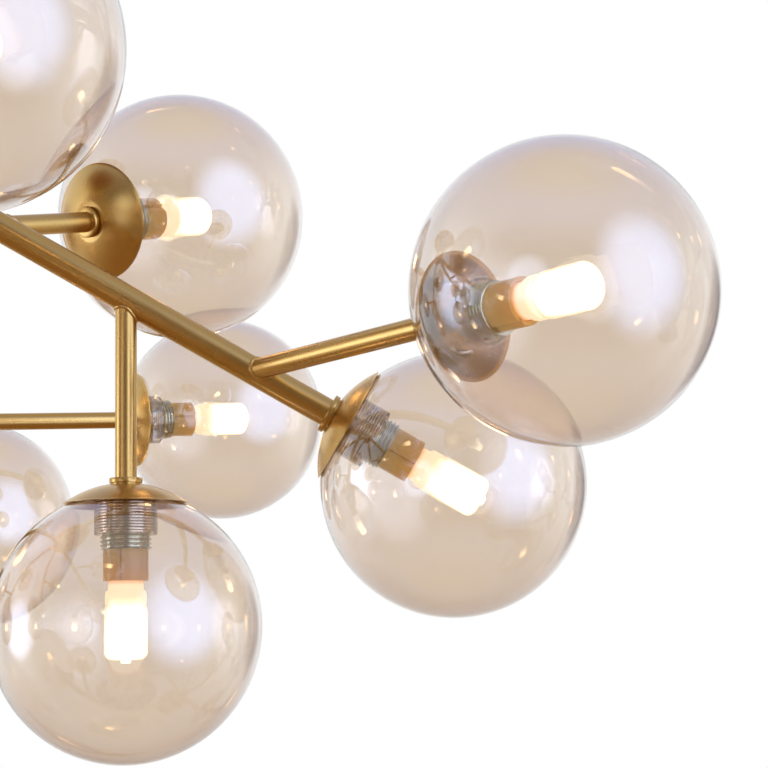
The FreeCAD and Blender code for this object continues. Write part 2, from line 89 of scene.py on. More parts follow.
@dataclass(frozen=True)
class Layout:
    """The driving sizes of the bars and branches, in metres and degrees."""

    arm_count: int = 5
    hub_drop: float = 62.0 * MM
    bar_slope: float = 28.5
    branch_angle: float = 60.0
    bar_reach: float = 506.0 * MM
    first_branch_share: float = 0.421
    branch_step_share: float = 0.161
    branch_reaches: tuple[float, float, float] = (148.0 * MM, 183.0 * MM, 234.0 * MM)
    branch_turns: tuple[float, float, float] = (54.0, 180.0, -66.0)
    bar_radius: float = 8.0 * MM
    branch_radius: float = 6.0 * MM

    def lamps(self) -> list[Lamp]:
        """Works out the axis of every lamp.

        Returns:
            Four lamps for each bar, the branches first and the bar's end last.
        """
        slope = math.radians(self.bar_slope)
        lean = math.radians(self.branch_angle)
        along = Vector((math.cos(slope), 0.0, -math.sin(slope)))
        upward = Vector((math.sin(slope), 0.0, math.cos(slope)))
        sideways = Vector((0.0, 1.0, 0.0))
        hub = -UP * self.hub_drop
        places = (Place.AWAY, Place.DOWN, Place.NEAR)
        lamps = []
        for arm in range(self.arm_count):
            turn = Matrix.Rotation(FULL_TURN * arm / self.arm_count, 3, "Z")
            for index, place in enumerate(places):
                round_bar = math.radians(self.branch_turns[index])
                across = upward * math.cos(round_bar) + sideways * math.sin(round_bar)
                direction = along * math.cos(lean) + across * math.sin(lean)
                share = self.first_branch_share + self.branch_step_share * index
                root = hub + along * self.bar_reach * share
                centre = root + direction * self.branch_reaches[index]
                lamps.append(Lamp(arm, place, turn @ root, turn @ centre, turn @ direction, self.branch_radius))
            end = hub + along * self.bar_reach
            lamps.append(Lamp(arm, Place.END, turn @ hub, turn @ end, turn @ along, self.bar_radius))
        return lamps


def linear(hex_colour: str) -> Colour:
    """Turns an sRGB hex colour to the linear values that the nodes use.

    Args:
        hex_colour: the colour as "#RRGGBB".

    Returns:
        Linear red, green and blue, and an alpha of one.
    """
    channels = []
    for start in (1, 3, 5):
        value = int(hex_colour[start:start + 2], 16) / 255.0
        channels.append(value / 12.92 if value <= 0.04045 else ((value + 0.055) / 1.055) ** 2.4)
    return channels[0], channels[1], channels[2], 1.0


class Shading:
    """A node tree in the making, with the kinds of node that the finishes and the studio share."""

    def __init__(self, tree: bpy.types.NodeTree) -> None:
        """Starts on an emptied tree."""
        self.tree = tree
        tree.nodes.clear()

    def add(self, kind: str, output: str, inputs: dict | None = None, **settings: str | bool) -> Socket:
        """Adds one shader node with its settings, and links or sets its inputs.

        Args:
            kind: the end of the node's type name, after "ShaderNode".
            output: the name of the output that is wanted.
            inputs: for each socket's name or number, an output to link or a value to set.
            settings: attribute values of the node.

        Returns:
            The wanted output.
        """
        node = self.tree.nodes.new("ShaderNode" + kind)
        for name, value in settings.items():
            setattr(node, name, value)
        for name, value in (inputs or {}).items():
            if isinstance(value, Socket):
                self.tree.links.new(value, node.inputs[name])
            else:
                node.inputs[name].default_value = value
        return node.outputs[output]

    def close(self, kind: str, shader: Socket) -> None:
        """Ends the tree in its output node, of the kind Material or World."""
        node = self.tree.nodes.new("ShaderNodeOutput" + kind)
        self.tree.links.new(shader, node.inputs["Surface"])

    def on_lamp(self, axis: str) -> Socket:
        """The distance from the lamp's axis (X) or along it (Y), from the UV map, in metres."""
        return self.add("SeparateXYZ", axis, {"Vector": self.add("UVMap", "UV")})

    def noise(self, size: float, detail: float) -> Socket:
        """Cloudy noise whose patches have a real size, in metres."""
        place = self.add("TexCoord", "Object")
        return self.add("TexNoise", "Fac", {"Vector": place, "Scale": 1.0 / size, "Detail": detail})

    def spread(self, value: Socket, source: Span, target: Span = (0.0, 1.0), curve: str = "SMOOTHSTEP") -> Socket:
        """Maps one range of values to another."""
        return self.add("MapRange", "Result", {
            "Value": value, "From Min": source[0], "From Max": source[1], "To Min": target[0], "To Max": target[1]},
            interpolation_type=curve)

    def maths(self, operation: str, first: Socket, second: Socket | float, clamp: bool = False) -> Socket:
        """Works one sum on two values."""
        return self.add("Math", "Value", {0: first, 1: second}, operation=operation, use_clamp=clamp)

    def blend(self, share: Socket, first: Socket | Colour, second: Socket | Colour) -> Socket:
        """Blends two colours."""
        return self.add("Mix", "Result", {"Factor": share, "A": first, "B": second}, data_type="RGBA")

    def ramp(self, share: Socket, stops: list[tuple[float, str]]) -> Socket:
        """Adds a colour ramp.

        Args:
            share: what drives it, from 0 to 1.
            stops: positions and sRGB hex colours, from low to high.

        Returns:
            The ramp's colour.
        """
        colour = self.add("ValToRGB", "Color", {"Fac": share})
        elements = colour.node.color_ramp.elements
        for element, (position, shade) in zip((elements[0], elements[1]), (stops[0], stops[-1])):
            element.position, element.color = position, linear(shade)
        for position, shade in stops[1:-1]:
            elements.new(position).color = linear(shade)
        return colour

    def bump(self, height: Socket, distance: float) -> Socket:
        """Turns a height to a normal."""
        return self.add("Bump", "Normal", {"Height": height, "Distance": distance, "Strength": 1.0})

    def grazing(self) -> Socket:
        """How far the surface is turned from the eye."""
        return self.add("LayerWeight", "Facing", {"Blend": 0.5})

    def path(self, name: str) -> Socket:
        """One fact of the ray's path."""
        return self.add("LightPath", name)

    def principled(self, inputs: dict) -> Socket:
        """Adds the main shader."""
        return self.add("BsdfPrincipled", "BSDF", inputs)

    def either(self, share: Socket, first: Socket, second: Socket) -> Socket:
        """Mixes two shaders."""
        return self.add("MixShader", "Shader", {"Fac": share, 1: first, 2: second})

    def pass_lamps(self, glass: Socket, shadow: str) -> Socket:
        """Lets lamps' light straight through a glass, tinted, so that a bulb lights what is round it."""
        clear = self.add("BsdfTransparent", "BSDF", {"Color": linear(shadow)})
        return self.either(self.path("Is Shadow Ray"), glass, clear)


@dataclass(frozen=True)
class Finish:
    """A finish: the name of its material, and its shader."""

    name: str

    def shader(self, nodes: Shading) -> Socket:
        """Adds the finish's nodes and returns its shader; each finish has its own."""
        raise NotImplementedError

    def build(self) -> bpy.types.Material:
        """Builds the material."""
        material = bpy.data.materials.new(self.name)
        material.use_nodes = True
        nodes = Shading(material.node_tree)
        nodes.close("Material", self.shader(nodes))
        return material


@dataclass(frozen=True)
class SatinBrass(Finish):
    """Electroplated brass, satin brushed and lacquered: soft highlights over an olive gold that varies slowly."""

    name: str = "satin_brass_plate"
    colour: str = "#D2AF6B"
    worn: str = "#CDAA64"
    roughness: Span = (0.24, 0.29)
    mottle: float = 30.0 * MM
    mottle_detail: float = 3.0
    mottle_range: Span = (0.3, 0.7)

    def shader(self, nodes: Shading) -> Socket:
        """Adds the brass's nodes."""
        cloud = nodes.noise(self.mottle, self.mottle_detail)
        return nodes.principled({
            "Base Color": nodes.blend(cloud, linear(self.colour), linear(self.worn)), "Metallic": 1.0,
            "Roughness": nodes.spread(cloud, self.mottle_range, self.roughness, "LINEAR")})


@dataclass(frozen=True)
class PolishedBrass(Finish):
    """Spun brass inside the caps: left bright from the lathe, so it mirrors with faint turned rings."""

    name: str = "spun_brass_bright"
    colour: str = "#C99544"
    roughness: float = 0.04
    ring_pitch: float = 1.6 * MM
    ring_height: float = 0.012 * MM
    ring_detail: float = 3.0

    def shader(self, nodes: Shading) -> Socket:
        """Adds the brass's nodes; its rings follow the distance from the lamp's axis."""
        turns = nodes.maths("MULTIPLY", nodes.on_lamp("X"), 1.0 / self.ring_pitch)
        rings = nodes.add("TexNoise", "Fac", {"W": turns, "Scale": 1.0, "Detail": self.ring_detail},
                          noise_dimensions="1D")
        return nodes.principled({"Base Color": linear(self.colour), "Metallic": 1.0, "Roughness": self.roughness,
                                 "Normal": nodes.bump(rings, self.ring_height)})


@dataclass(frozen=True)
class LustreGlass(Finish):
    """Blown soda glass with a thin metal-oxide lustre: it lets amber through and throws back a bluish white."""

    name: str = "lustred_soda_glass"
    colour: str = "#F3EBE2"
    edge: str = "#EDE8EE"
    edge_start: float = 0.55
    shadow: str = "#F2E2D2"
    ior: float = 1.5
    film_thickness: float = 60.0
    film_ior: float = 1.75
    wave: float = 42.0 * MM
    wave_height: float = 0.16 * MM

    def shader(self, nodes: Shading) -> Socket:
        """Adds the glass's nodes; the slow waves are those of a blown wall."""
        tint = nodes.ramp(nodes.grazing(), [(0.0, self.colour), (self.edge_start, self.colour), (1.0, self.edge)])
        glass = nodes.principled({
            "Base Color": tint, "Roughness": 0.0, "IOR": self.ior, "Transmission Weight": 1.0,
            "Thin Film Thickness": self.film_thickness, "Thin Film IOR": self.film_ior,
            "Normal": nodes.bump(nodes.noise(self.wave, 0.0), self.wave_height)})
        return nodes.pass_lamps(glass, self.shadow)


@dataclass(frozen=True)
class NeckGlass(Finish):
    """Pressed soda glass of the neck, which the lustre doesn't reach: clear, with bright thread lines."""

    name: str = "clear_soda_glass"
    colour: str = "#FDFBF8"
    shadow: str = "#FBF5EE"
    ior: float = 1.5

    def shader(self, nodes: Shading) -> Socket:
        """Adds the glass's nodes."""
        glass = nodes.principled({
            "Base Color": linear(self.colour), "Roughness": 0.0, "IOR": self.ior, "Transmission Weight": 1.0})
        return nodes.pass_lamps(glass, self.shadow)


@dataclass(frozen=True)
class ZincPlate(Finish):
    """Zinc-plated steel, rolled threads: pale grey, with bright and dull spangles."""

    name: str = "zinc_plated_steel"
    colour: str = "#E6EBDF"
    dull: str = "#C2C9BD"
    roughness: Span = (0.1, 0.2)
    spangle: float = 3.0 * MM
    spangle_detail: float = 4.0

    def shader(self, nodes: Shading) -> Socket:
        """Adds the zinc's nodes."""
        cloud = nodes.noise(self.spangle, self.spangle_detail)
        return nodes.principled({
            "Base Color": nodes.blend(cloud, linear(self.colour), linear(self.dull)), "Metallic": 1.0,
            "Roughness": nodes.spread(cloud, (0.0, 1.0), self.roughness, "LINEAR")})


@dataclass(frozen=True)
class GlazedSteatite(Finish):
    """Glazed steatite of a lampholder: tan and glossy, with a painted warm tint and a painted glow towards its mouth
    that stand in for the bulb's light.
    """

    name: str = "glazed_steatite"
    # The first colour is the steatite's own; the second is painted warm light, blended in towards the bulb.
    unlit_colour: str = "#CBB06C"
    bulb_lit_colour: str = "#D2A65E"
    roughness: float = 0.2
    glaze: float = 0.2
    glaze_roughness: float = 0.12
    # The span along the lamp over which the painted warm light comes in.
    reach: Span = (-40.0 * MM, -27.0 * MM)
    speck: float = 1.5 * MM
    speck_detail: float = 3.0
    speck_range: Span = (-0.08, 0.08)
    # Painted glow: emission near the mouth that stands in for the bulb's light, though the steatite is no lamp.
    glow: str = "#F0CE96"
    painted_glow_reach: Span = (-34.0 * MM, -25.0 * MM)
    painted_glow_strength: Span = (0.04, 0.09)

    def shader(self, nodes: Shading) -> Socket:
        """Adds the steatite's nodes; its colour warms and it glows towards the bulb, both painted light, over random
        specks of its own tone.
        """
        height = nodes.on_lamp("Y")
        speck = nodes.spread(nodes.noise(self.speck, self.speck_detail), (0.0, 1.0), self.speck_range, "LINEAR")
        # Painted warm light towards the bulb, plus random specks of the steatite's own tone.
        painted_bulb_light_and_speck = nodes.maths("ADD", nodes.spread(height, self.reach), speck, clamp=True)
        return nodes.principled({
            "Base Color": nodes.ramp(painted_bulb_light_and_speck, [(0.0, self.unlit_colour), (1.0, self.bulb_lit_colour)]), "Roughness": self.roughness,
            "Coat Weight": self.glaze, "Coat Roughness": self.glaze_roughness, "Emission Color": linear(self.glow),
            "Emission Strength": nodes.spread(height, self.painted_glow_reach, self.painted_glow_strength)})


@dataclass(frozen=True)
class LitCapsule(Finish):
    """Frosted glass capsule of a lit bulb: cream and dimmer at its neck and rim, white along its body."""

    name: str = "frosted_capsule_lit"
    glass: str = "#FFF4DC"
    roughness: float = 0.55
    neck: str = "#FFF2D4"
    body: str = "#FFD49A"
    rim: str = "#FFF0D2"
    reach: Span = (-17.0 * MM, 6.0 * MM)
    strength: Span = (0.74, 8.0)
    rim_range: Span = (0.2, 0.85)
    rim_share: float = 0.13
    dimmest: float = 0.74
    ember: str = "#CE8A38"
    ember_reach: Span = (-25.6 * MM, -22.2 * MM)

    def shader(self, nodes: Shading) -> Socket:
        """Adds the bulb's nodes; its glow grows along the lamp and fades at its rim."""
        height = nodes.on_lamp("Y")
        lit = nodes.spread(height, self.reach)
        power = nodes.spread(lit, (0.0, 1.0), self.strength, "LINEAR")
        rim = nodes.spread(nodes.grazing(), self.rim_range, (1.0, self.rim_share))
        shown = nodes.maths("MAXIMUM", nodes.maths("MULTIPLY", power, rim), self.dimmest)
        warm = nodes.blend(rim, linear(self.rim), nodes.ramp(lit, [(0.0, self.neck), (1.0, self.body)]))
        glow = nodes.blend(nodes.spread(height, self.ember_reach), linear(self.ember), warm)
        return nodes.principled({"Base Color": linear(self.glass), "Roughness": self.roughness,
                                 "Emission Color": glow, "Emission Strength": shown})


@dataclass(frozen=True)
class MouldedPlastic(Finish):
    """Moulded nylon or silicone sheath: matte, slightly uneven."""

    colour: str
    roughness: float = 0.5
    grain: float = 0.8 * MM
    grain_detail: float = 2.0
    grain_height: float = 0.01 * MM

    def shader(self, nodes: Shading) -> Socket:
        """Adds the plastic's nodes."""
        grain = nodes.noise(self.grain, self.grain_detail)
        return nodes.principled({"Base Color": linear(self.colour), "Roughness": self.roughness,
                                 "Normal": nodes.bump(grain, self.grain_height)})


def select_only(obj: bpy.types.Object) -> None:
    """Deselects everything, then selects one object and makes it active."""
    bpy.ops.object.select_all(action="DESELECT")
    obj.select_set(True)
    bpy.context.view_layer.objects.active = obj


def draw_outline(name: str, outline: Outline) -> bpy.types.Object:
    """Draws an outline in the XZ plane, from a point that is extruded along it, and stays in edit mode.

    Args:
        name: the new piece's name.
        outline: (radius, height) points, in metres.

    Returns:
        The piece, with one edge between each two points.
    """
    bpy.ops.object.select_all(action="DESELECT")
    bpy.ops.mesh.primitive_plane_add(size=MM, location=(0.0, 0.0, 0.0))
    obj = bpy.context.object
    obj.name = name
    bpy.ops.object.mode_set(mode="EDIT")
    bpy.ops.mesh.merge(type="CENTER")
    bpy.ops.transform.translate(value=(outline[0][0], 0.0, outline[0][1]))
    for before, after in zip(outline, outline[1:]):
        step = (after[0] - before[0], 0.0, after[1] - before[1])
        bpy.ops.mesh.extrude_vertices_move(TRANSFORM_OT_translate={"value": step})
    return obj


def turn_outline(name: str, outline: Outline, steps: int, sharp: float) -> bpy.types.Object:
    """Spins an outline about Z.

    Args:
        name: the new piece's name.
        outline: (radius, height) points, in metres; a piece with a bore ends where it starts.
        steps: how many steps the turn has.
        sharp: edges sharper than this many degrees stay sharp.

    Returns:
        The turned piece, smooth, with its UV map holding radius and height in metres.
    """
    obj = draw_outline(name, outline)
    bpy.ops.mesh.select_all(action="SELECT")
    bpy.ops.mesh.spin(steps=steps, angle=FULL_TURN, center=(0.0, 0.0, 0.0), axis=(0.0, 0.0, 1.0))
    finish_mesh(obj, sharp)
    return obj


def finish_mesh(obj: bpy.types.Object, sharp: float) -> None:
    """Merges doubles, points normals outwards, smooths the piece and maps it by radius and height.

    Args:
        obj: the piece, which may be in edit mode.
        sharp: edges sharper than this many degrees stay sharp.
    """
    if bpy.context.mode != "EDIT_MESH":
        select_only(obj)
        bpy.ops.object.mode_set(mode="EDIT")
    bpy.ops.mesh.select_all(action="SELECT")
    bpy.ops.mesh.remove_doubles(threshold=MERGE_DISTANCE)
    bpy.ops.mesh.delete_loose(use_faces=False)
    bpy.ops.mesh.select_all(action="SELECT")
    bpy.ops.mesh.normals_make_consistent(inside=False)
    bpy.ops.object.mode_set(mode="OBJECT")
    bpy.ops.object.shade_smooth_by_angle(angle=math.radians(sharp))
    uv = obj.data.uv_layers.new(name="UVMap") if not obj.data.uv_layers else obj.data.uv_layers[0]
    for loop in obj.data.loops:
        point = obj.data.vertices[loop.vertex_index].co
        uv.data[loop.index].uv = (math.hypot(point.x, point.y), point.z)


def arc_points(centre: float, radius: float, start: float, end: float, count: int) -> Outline:
    """Lists points on an arc whose centre is on the axis.

    Args:
        centre: the arc centre's height.
        radius: the arc's radius.
        start: the first point's angle, in degrees from the axis pointing up.
        end: the last point's angle.
        count: how many points.

    Returns:
        (radius, height) points.
    """
    angles = [math.radians(start + (end - start) * index / (count - 1)) for index in range(count)]
    return [(radius * math.sin(angle), centre + radius * math.cos(angle)) for angle in angles]


def placed_copy(obj: bpy.types.Object, name: str, matrix: Matrix) -> bpy.types.Object:
    """Copies a piece with its own mesh and moves the mesh to its place.

    Args:
        obj: the piece to copy.
        name: the copy's name.
        matrix: where the copy's mesh goes.

    Returns:
        The copy, with its object at the origin.
    """
    copy = bpy.data.objects.new(name, obj.data.copy())
    bpy.context.scene.collection.objects.link(copy)
    copy.data.transform(matrix)
    return copy


def join(pieces: list[bpy.types.Object], name: str) -> bpy.types.Object:
    """Joins pieces into one object.

    Args:
        pieces: the pieces, all with their place in their mesh.
        name: the joined object's name.

    Returns:
        The joined object.
    """
    bpy.ops.object.select_all(action="DESELECT")
    for piece in pieces:
        piece.select_set(True)
    bpy.context.view_layer.objects.active = pieces[0]
    if len(pieces) > 1:
        bpy.ops.object.join()
    pieces[0].name = name
    pieces[0].data.name = name
    return pieces[0]


def dress(obj: bpy.types.Object, materials: list[bpy.types.Material], body: str, node: str) -> None:
    """Gives a piece its materials and its body, and hides the CAD node that it stands for.

    Args:
        obj: the finished piece.
        materials: its materials, in the order of its faces' indices.
        body: the body that it rides on.
        node: the CAD node that it replaces.
    """
    obj.data.materials.clear()
    for material in materials:
        obj.data.materials.append(material)
    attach(obj, body)
    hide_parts(node)
    log.info("%s: %d faces", obj.name, len(obj.data.polygons))


@dataclass
class Globe:
    """A blown globe with its threaded neck turned inwards, a hair under 150 mm across to stay inside its solid."""

    radius: float = 74.99 * MM
    wall: float = 1.5 * MM
    neck_radius: float = 17.5 * MM
    neck_wall: float = 2.0 * MM
    neck_end: float = field(default_factory=lambda: Cap().rim + 17.5 * MM)
    thread_pitch: float = 1.6 * MM
    thread_depth: float = 0.32 * MM
    thread_flat: float = 0.62
    first_groove: float = 0.3
    root_fillet: float = 1.4 * MM
    profile_steps: int = 56
    turn_steps: int = 96
    sharp: float = 35.0

    def build(self) -> bpy.types.Object:
        """Builds the globe on its lamp's axis."""
        bore = self.neck_radius - self.neck_wall
        hollow = self.radius - self.wall
        mouth = 180.0 - math.degrees(math.asin(bore / self.radius))
        root = 180.0 - math.degrees(math.asin((self.neck_radius + self.root_fillet) / hollow))
        outside = arc_points(0.0, self.radius, mouth, 0.0, self.profile_steps)
        inside = arc_points(0.0, hollow, 0.0, root, self.profile_steps)
        top = inside[-1][1] + self.root_fillet
        ridges = int((self.neck_end - top) / self.thread_pitch)
        flat = self.thread_pitch * self.thread_flat
        outer_neck = []
        for ridge in range(ridges):
            low = top + ridge * self.thread_pitch
            outer_neck += [(self.neck_radius, low), (self.neck_radius, low + flat),
                           (self.neck_radius - self.thread_depth, low + (self.thread_pitch + flat) / 2.0)]
        lip = self.neck_wall / 4.0
        rim = [(self.neck_radius, self.neck_end - lip), (self.neck_radius - lip, self.neck_end),
               (bore + lip, self.neck_end), (bore, self.neck_end - lip)]
        mouth_height = outside[0][1]
        inner_ridges = int((self.neck_end - mouth_height) / self.thread_pitch) - 1
        inner_neck = []
        for ridge in range(inner_ridges):
            high = self.neck_end - lip - (ridge + self.first_groove) * self.thread_pitch
            low = high - self.thread_pitch + flat
            inner_neck += [(bore, high), (bore + self.thread_depth, (high + low) / 2.0), (bore, low)]
        outline = outside + inside + outer_neck + rim + inner_neck + outside[:1]
        globe = turn_outline("globe", outline, self.turn_steps, self.sharp)
        neck_reach = self.neck_radius + self.root_fillet / 2.0
        for face in globe.data.polygons:
            reach = math.hypot(face.center.x, face.center.y)
            face.material_index = 1 if reach < neck_reach and face.center.z < 0.0 else 0
        return globe


@dataclass
class Cap:
    """A spun dome that closes the neck, satin outside and bright inside, with its stepped collar."""

    radius: float = 34.5 * MM
    rise: float = 11.4 * MM
    wall: float = 1.2 * MM
    flat_radius: float = 11.5 * MM
    hole_radius: float = 5.2 * MM
    glass_gap: float = 0.3 * MM
    globe_radius: float = 75.0 * MM
    collar_margin: float = 3.2 * MM
    collar_thickness: float = 3.0 * MM
    collar_step: float = 0.9 * MM
    collar_groove: float = 1.1 * MM
    collar_round: float = 0.45 * MM
    edge_bulge: float = 0.2
    arc_steps: int = 24
    turn_steps: int = 128
    sharp: float = 35.0
    collar_sharp: float = 40.0

    @property
    def rim(self) -> float:
        """The rim's height on the lamp's axis, just clear of the globe."""
        inner = math.sqrt((self.dome_radius - self.wall) ** 2 - (self.dome_radius - self.rise) ** 2)
        return -math.sqrt(self.globe_radius ** 2 - inner ** 2) - self.glass_gap

    @property
    def dome_radius(self) -> float:
        """The dome's outer radius."""
        return (self.radius ** 2 + self.rise ** 2) / (2.0 * self.rise)

    @property
    def dome_centre(self) -> float:
        """The height of the dome's centre."""
        return self.rim - self.rise + self.dome_radius

    @property
    def top(self) -> float:
        """The height of the flat that the collar stands on."""
        return self.dome_centre - math.sqrt(self.dome_radius ** 2 - self.flat_radius ** 2)

    def build_dome(self) -> bpy.types.Object:
        """Builds the dome, with its inner faces given the second material."""
        inner = self.dome_radius - self.wall
        flat = 180.0 - math.degrees(math.asin(self.flat_radius / self.dome_radius))
        edge = 180.0 - math.degrees(math.acos((self.dome_centre - self.rim) / self.dome_radius))
        inner_edge = 180.0 - math.degrees(math.acos((self.dome_centre - self.rim) / inner))
        inner_flat = 180.0 - math.degrees(math.acos((self.dome_centre - self.top - self.wall) / inner))
        bead = self.wall / 4.0
        outline = [(self.hole_radius, self.top)]
        outline += arc_points(self.dome_centre, self.dome_radius, flat, edge, self.arc_steps)[:-1]
        outline += [(self.radius - bead * self.edge_bulge, self.rim - bead), (self.radius - bead, self.rim)]
        inside = arc_points(self.dome_centre, inner, inner_edge, inner_flat, self.arc_steps)
        outline += [(inside[0][0] + bead, self.rim)] + inside[1:]
        outline += [(self.hole_radius, self.top + self.wall), (self.hole_radius, self.top)]
        dome = turn_outline("cap", outline, self.turn_steps, self.sharp)
        middle = self.dome_radius - self.wall / 2.0
        for face in dome.data.polygons:
            offset = face.center - UP * self.dome_centre
            on_flat = math.hypot(offset.x, offset.y) < self.flat_radius
            flat_inside = on_flat and face.center.z > self.top + self.wall / 2.0
            face.material_index = 1 if offset.length < middle or flat_inside else 0
        return dome

    def build_collar(self, tube_radius: float) -> bpy.types.Object:
        """Builds the ring with its step, rounded where it is handled.

        Args:
            tube_radius: the radius of the tube inside it.

        Returns:
            The collar on its lamp's axis.
        """
        radius = tube_radius + self.collar_margin
        groove = radius - self.collar_groove
        step = self.top - self.collar_step
        back = step - self.collar_thickness
        soft = self.collar_round
        middle = soft * ROUND_MIDDLE
        outline = [(tube_radius, self.top), (groove, self.top), (groove, step), (radius - soft, step),
                   (radius - middle, step - middle), (radius, step - soft), (radius, back + soft),
                   (radius - middle, back + middle), (radius - soft, back), (tube_radius, back)]
        return turn_outline("collar", outline + outline[:1], self.turn_steps, self.collar_sharp)


@dataclass
class Holder:
    """The threaded sleeve, the lampholder that stands in it and the capsule bulb.

    The thread's form lists shares of its pitch and depths under its crest; the bulb's lists radii and heights
    over the lampholder's face.
    """

    sleeve_radius: float = 14.25 * MM
    sleeve_start: float = 6.0 * MM
    sleeve_reach: float = 25.5 * MM
    thread_pitch: float = 2.3 * MM
    thread_form: Outline = field(default_factory=lambda: [
        (0.0, 1.1 * MM), (0.2, 1.1 * MM), (0.45, 0.184 * MM), (0.58, 0.0), (0.72, 0.184 * MM), (1.0, 1.1 * MM)])
    thread_steps: int = 48
    body_radius: float = 12.5 * MM
    body_flat: float = 10.6 * MM
    body_out: float = 17.3 * MM
    body_seat: float = 10.0 * MM
    split: float = 2.4 * MM
    groove: float = 0.6 * MM
    groove_depth: float = 2.4 * MM
    socket_radius: float = 10.0 * MM
    socket_depth: float = 2.0 * MM
    body_steps: int = 96
    socket_steps: int = 64
    edge_round: float = 0.5 * MM
    edge_steps: int = 2
    sharp: float = 35.0
    edge_sharp: float = 40.0
    bulb_foot: float = 9.5 * MM
    bulb_radius: float = 12.0 * MM
    bulb_length: float = 45.0 * MM
    bulb_form: Outline = field(default_factory=lambda: [(radius * MM, height * MM) for radius, height in (
        (9.7, 4.4), (10.1, 5.0), (11.1, 6.0), (11.4, 7.2), (11.4, 11.8), (11.1, 12.5), (10.9, 13.2), (11.3, 14.2),
        (11.8, 15.2), (12.0, 16.6), (12.0, 30.0))])
    bulb_corner: float = 4.6 * MM
    bulb_corner_steps: int = 8
    bulb_steps: int = 64
    bulb_sharp: float = 50.0
    nub_radius: float = 2.8 * MM
    nub_length: float = 1.8 * MM
    nub_round: float = 0.5 * MM
    rim: float = field(default_factory=lambda: Cap().rim)

    @property
    def sleeve_end(self) -> float:
        """The height of the sleeve's open end."""
        return self.rim + self.sleeve_reach

    @property
    def body_end(self) -> float:
        """The height of the lampholder's face."""
        return self.sleeve_end + self.body_out

    def build_sleeve(self) -> bpy.types.Object:
        """Builds the sleeve as a screwed profile with real turns of thread, cut square at both ends."""
        low = self.rim + self.sleeve_start
        pitch = self.thread_pitch
        start = low - pitch
        spare_turns = 2
        profile = [(self.sleeve_radius - depth, start + pitch * share) for share, depth in self.thread_form]
        sleeve = draw_outline("sleeve", profile)
        bpy.ops.object.mode_set(mode="OBJECT")
        screw = sleeve.modifiers.new("thread", "SCREW")
        screw.steps = self.thread_steps
        screw.render_steps = self.thread_steps
        screw.screw_offset = pitch
        screw.iterations = math.ceil((self.sleeve_end - low) / pitch) + spare_turns
        screw.use_merge_vertices = True
        bpy.ops.object.modifier_apply(modifier="thread")
        bpy.ops.object.mode_set(mode="EDIT")
        for height, side in ((low, -1.0), (self.sleeve_end, 1.0)):
            bpy.ops.mesh.select_all(action="SELECT")
            bpy.ops.mesh.remove_doubles(threshold=2.0 * MERGE_DISTANCE)
            bpy.ops.mesh.select_all(action="SELECT")
            bpy.ops.mesh.bisect(plane_co=(0.0, 0.0, height), plane_no=(0.0, 0.0, side), use_fill=True,
                                clear_outer=True, threshold=CUT_TOLERANCE)
        finish_mesh(sleeve, self.edge_sharp)
        return sleeve

    def build_body(self) -> bpy.types.Object:
        """Builds the lampholder: a round half and one with flats, a line where they meet, and a socket."""
        low = self.sleeve_end - self.body_seat
        depth = self.body_end - low
        middle = low + depth / 2.0
        bpy.ops.object.select_all(action="DESELECT")
        bpy.ops.mesh.primitive_cylinder_add(vertices=self.body_steps, radius=self.body_radius, depth=depth,
                                            location=(0.0, 0.0, middle))
        body = bpy.context.object
        bpy.ops.object.transform_apply(location=True, rotation=True, scale=True)
        cutters = []
        bpy.ops.mesh.primitive_cylinder_add(vertices=self.socket_steps, radius=self.socket_radius,
                                            depth=2.0 * self.socket_depth, location=(0.0, 0.0, self.body_end))
        cutters.append(bpy.context.object)
        width = 2.0 * self.body_radius
        for side in (-1.0, 1.0):
            flat = (self.split + self.body_radius, side * (self.body_flat + self.body_radius), middle)
            line = (self.split, side * self.body_radius, middle)
            for place, scale in ((flat, (width, width, 2.0 * depth)),
                                 (line, (self.groove, 2.0 * self.groove_depth, 2.0 * depth))):
                bpy.ops.mesh.primitive_cube_add(size=1.0, location=place, scale=scale)
                cutters.append(bpy.context.object)
        for cutter in cutters:
            select_only(body)
            cut = body.modifiers.new("cut", "BOOLEAN")
            cut.operation = "DIFFERENCE"
            cut.solver = "EXACT"
            cut.object = cutter
            bpy.ops.object.modifier_apply(modifier="cut")
            bpy.data.objects.remove(cutter)
        bevel = body.modifiers.new("soft", "BEVEL")
        bevel.width = self.edge_round
        bevel.segments = self.edge_steps
        bevel.limit_method = "ANGLE"
        bevel.angle_limit = math.radians(self.edge_sharp)
        select_only(body)
        bpy.ops.object.modifier_apply(modifier="soft")
        finish_mesh(body, self.sharp)
        return body

    def build_bulb(self) -> bpy.types.Object:
        """Builds the capsule with its stepped neck, its waist, its rounded end and its tip."""
        base = self.body_end - self.socket_depth
        tip = self.body_end + self.bulb_length
        end = tip - self.nub_length
        corner = self.bulb_corner
        shape = [(0.0, base), (self.bulb_foot, base)]
        shape += [(radius, self.body_end + height) for radius, height in self.bulb_form]
        for index in range(self.bulb_corner_steps + 1):
            angle = math.radians(90.0 * index / self.bulb_corner_steps)
            shape.append((self.bulb_radius - corner * (1.0 - math.cos(angle)), end - corner * (1.0 - math.sin(angle))))
        shape += [(self.nub_radius, end), (self.nub_radius, tip - self.nub_round),
                  (self.nub_radius - self.nub_round, tip), (0.0, tip)]
        return turn_outline("bulb", shape, self.bulb_steps, self.bulb_sharp)


